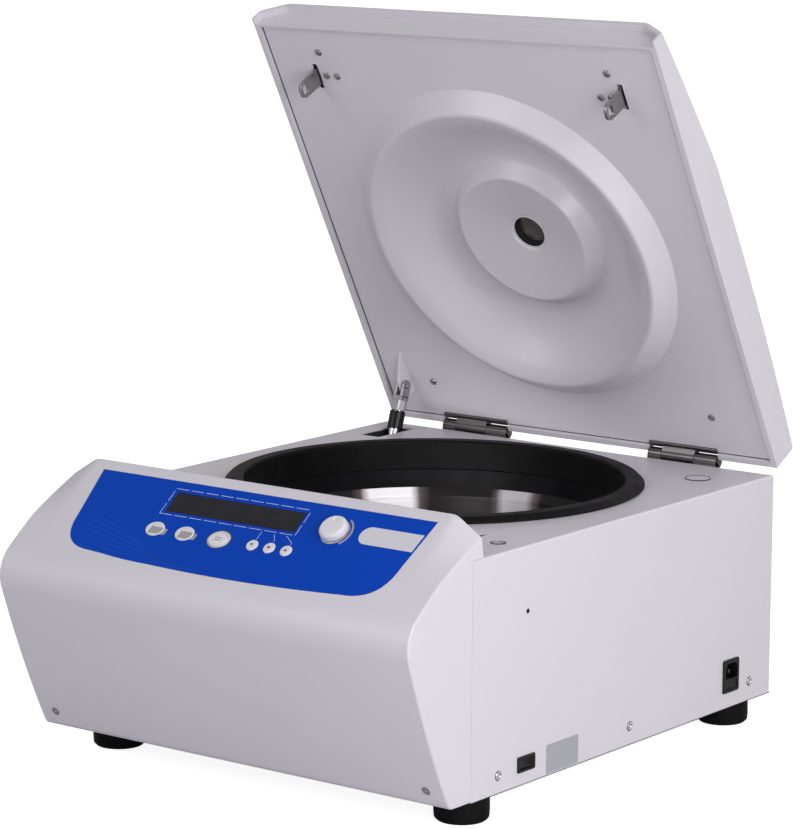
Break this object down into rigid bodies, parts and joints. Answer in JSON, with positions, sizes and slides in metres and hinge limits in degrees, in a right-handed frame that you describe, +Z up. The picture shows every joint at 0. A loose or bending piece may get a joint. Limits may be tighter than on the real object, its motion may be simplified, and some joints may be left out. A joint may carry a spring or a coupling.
{
  "type": "bench centrifuge",
  "caption": "Bench centrifuge with a hinged lid on a gas strut, a swing-out rotor with buckets in a round chamber, and a sloping control face with a display, keys and a knob.",
  "frame": {"origin": "middle of the case's width, on the table, below the middle of the open machine's depth", "axes": "+X to the side with the mains inlet (the right side seen from the controls), +Y to the hinges at the back, +Z up"},
  "size_m": [0.4636, 0.605, 0.668],
  "materials": {
    "white_paint": "satin powder coat, white with a touch of violet",
    "white_moulding": "satin white moulding",
    "key_white": "satin white",
    "overlay_blue": "semi-gloss printed film",
    "window_smoke": "polished, smoked",
    "board_green": "solder mask",
    "black_rubber": "matt black",
    "dark_moulding": "matt dark grey",
    "black_plastic": "satin black",
    "stainless": "spun stainless steel",
    "steel": "plain steel",
    "chrome": "polished chrome",
    "zinc_sheet": "galvanised sheet",
    "aluminium": "satin turned",
    "motor_black": "black paint",
    "clear_glass": "clear"
  },
  "bodies": {
    "frame": {"case_shell": "white_paint", "base_plate": "zinc_sheet", "foot_front_left": "black_rubber", "foot_front_right": "black_rubber", "foot_rear_left": "black_rubber", "foot_rear_right": "black_rubber", "front_cover": "white_moulding", "control_overlay": "overlay_blue", "display_window": "window_smoke", "display_module": "dark_moulding", "control_board": "board_green", "chamber_gasket": "black_rubber", "guard_ring": "dark_moulding", "chamber_bowl": "stainless", "guard_barrel": "steel", "drive_motor": "motor_black", "motor_mount": "steel", "damper_rear": "black_rubber", "damper_left": "black_rubber", "damper_right": "black_rubber", "spindle_seal": "black_rubber", "lid_lock_left": "dark_moulding", "lid_lock_right": "dark_moulding", "hinge_leaf_case_left": "steel", "hinge_leaf_case_right": "steel", "strut_anchor": "steel", "rocker_bezel": "black_plastic", "mains_inlet": "black_plastic", "hole_plug": "white_moulding", "drive_board": "board_green"},
    "lid": {"lid_shell": "white_paint", "lid_liner": "white_paint", "sight_glass": "clear_glass", "latch_hook_left": "steel", "latch_hook_right": "steel", "hinge_leaf_lid_left": "steel", "hinge_leaf_lid_right": "steel", "strut_bracket": "white_paint"},
    "strut_lower": {"strut_cylinder": "black_plastic"},
    "strut_upper": {"strut_rod": "chrome", "strut_sleeve": "black_plastic", "strut_fork": "chrome"},
    "rotor": {"rotor_head": "aluminium", "rotor_nut": "steel", "spindle": "steel"},
    "bucket_right": {"bucket_right": "aluminium"},
    "bucket_rear": {"bucket_rear": "aluminium"},
    "bucket_left": {"bucket_left": "aluminium"},
    "bucket_front": {"bucket_front": "aluminium"},
    "speed_knob": {"speed_knob": "key_white"},
    "power_rocker": {"power_rocker": "black_plastic"},
    "lock_bolt_left": {"lock_bolt_left": "steel"},
    "lock_bolt_right": {"lock_bolt_right": "steel"},
    "fuse_drawer": {"fuse_drawer": "dark_moulding"},
    "key_start": {"key_start": "key_white"},
    "key_pulse": {"key_pulse": "key_white"},
    "key_stop": {"key_stop": "key_white"},
    "key_down": {"key_down": "key_white"},
    "key_set": {"key_set": "key_white"},
    "key_up": {"key_up": "key_white"}
  },
  "joints": [
    {"name": "lid_hinge", "type": "hinge", "parent": "frame", "child": "lid", "pos_m": [0, 0.27535, 0.2392], "axis": [1, 0, 0], "range_deg": [0, 61.5], "stiffness_Nm_per_rad": 4, "springref_deg": -137.51},
    {"name": "strut_swing", "type": "hinge", "parent": "frame", "child": "strut_lower", "pos_m": [-0.193, 0.1715, 0.055], "axis": [1, 0, 0], "range_deg": [0, 1]},
    {"name": "strut_slide", "type": "slide", "parent": "strut_lower", "child": "strut_upper", "axis": [0, 0.3085, 0.9512], "range_m": [-0.0522, 0]},
    {"name": "rotor_spin", "type": "hinge", "parent": "frame", "child": "rotor", "pos_m": [0, 0.0392, 0.146], "axis": [0, 0, 1], "continuous": true},
    {"name": "bucket_right_swing", "type": "hinge", "parent": "rotor", "child": "bucket_right", "pos_m": [0.095, 0.0392, 0.146], "axis": [0, -1, 0], "range_deg": [0, 90]},
    {"name": "bucket_rear_swing", "type": "hinge", "parent": "rotor", "child": "bucket_rear", "pos_m": [0, 0.1342, 0.146], "axis": [1, 0, 0], "range_deg": [0, 90]},
    {"name": "bucket_left_swing", "type": "hinge", "parent": "rotor", "child": "bucket_left", "pos_m": [-0.095, 0.0392, 0.146], "axis": [0, 1, 0], "range_deg": [0, 90]},
    {"name": "bucket_front_swing", "type": "hinge", "parent": "rotor", "child": "bucket_front", "pos_m": [0, -0.0558, 0.146], "axis": [-1, 0, 0], "range_deg": [0, 90]},
    {"name": "knob_turn", "type": "hinge", "parent": "frame", "child": "speed_knob", "pos_m": [0.097, -0.23166, 0.24702], "axis": [0, -0.6157, 0.788], "continuous": true},
    {"name": "key_start_press", "type": "slide", "parent": "frame", "child": "key_start", "axis": [0, 0.6157, -0.788], "range_m": [0, 0.0008], "stiffness_N_per_m": 300, "springref_m": -0.0025},
    {"name": "key_pulse_press", "type": "slide", "parent": "frame", "child": "key_pulse", "axis": [0, 0.6157, -0.788], "range_m": [0, 0.0008], "stiffness_N_per_m": 300, "springref_m": -0.0025},
    {"name": "key_stop_press", "type": "slide", "parent": "frame", "child": "key_stop", "axis": [0, 0.6157, -0.788], "range_m": [0, 0.0008], "stiffness_N_per_m": 300, "springref_m": -0.0025},
    {"name": "key_down_press", "type": "slide", "parent": "frame", "child": "key_down", "axis": [0, 0.6157, -0.788], "range_m": [0, 0.0008], "stiffness_N_per_m": 300, "springref_m": -0.0025},
    {"name": "key_set_press", "type": "slide", "parent": "frame", "child": "key_set", "axis": [0, 0.6157, -0.788], "range_m": [0, 0.0008], "stiffness_N_per_m": 300, "springref_m": -0.0025},
    {"name": "key_up_press", "type": "slide", "parent": "frame", "child": "key_up", "axis": [0, 0.6157, -0.788], "range_m": [0, 0.0008], "stiffness_N_per_m": 300, "springref_m": -0.0025},
    {"name": "rocker_tilt", "type": "hinge", "parent": "frame", "child": "power_rocker", "pos_m": [0.227, -0.1351, 0.0451], "axis": [0, 0, 1], "range_deg": [0, 18]},
    {"name": "lock_bolt_right_slide", "type": "slide", "parent": "frame", "child": "lock_bolt_right", "axis": [1, 0, 0], "range_m": [0, 0.009]},
    {"name": "lock_bolt_left_slide", "type": "slide", "parent": "frame", "child": "lock_bolt_left", "axis": [-1, 0, 0], "range_m": [0, 0.009]},
    {"name": "fuse_drawer_slide", "type": "slide", "parent": "frame", "child": "fuse_drawer", "axis": [1, 0, 0], "range_m": [0, 0.012]}
  ],
  "couplings": [
    {"joint": "strut_swing", "follows": "lid_hinge", "ratio": 0.015375},
    {"joint": "strut_slide", "follows": "lid_hinge", "m_per_rad": -0.04818},
    {"joint": "lock_bolt_left_slide", "follows": "lock_bolt_right_slide", "ratio": 1}
  ]
}
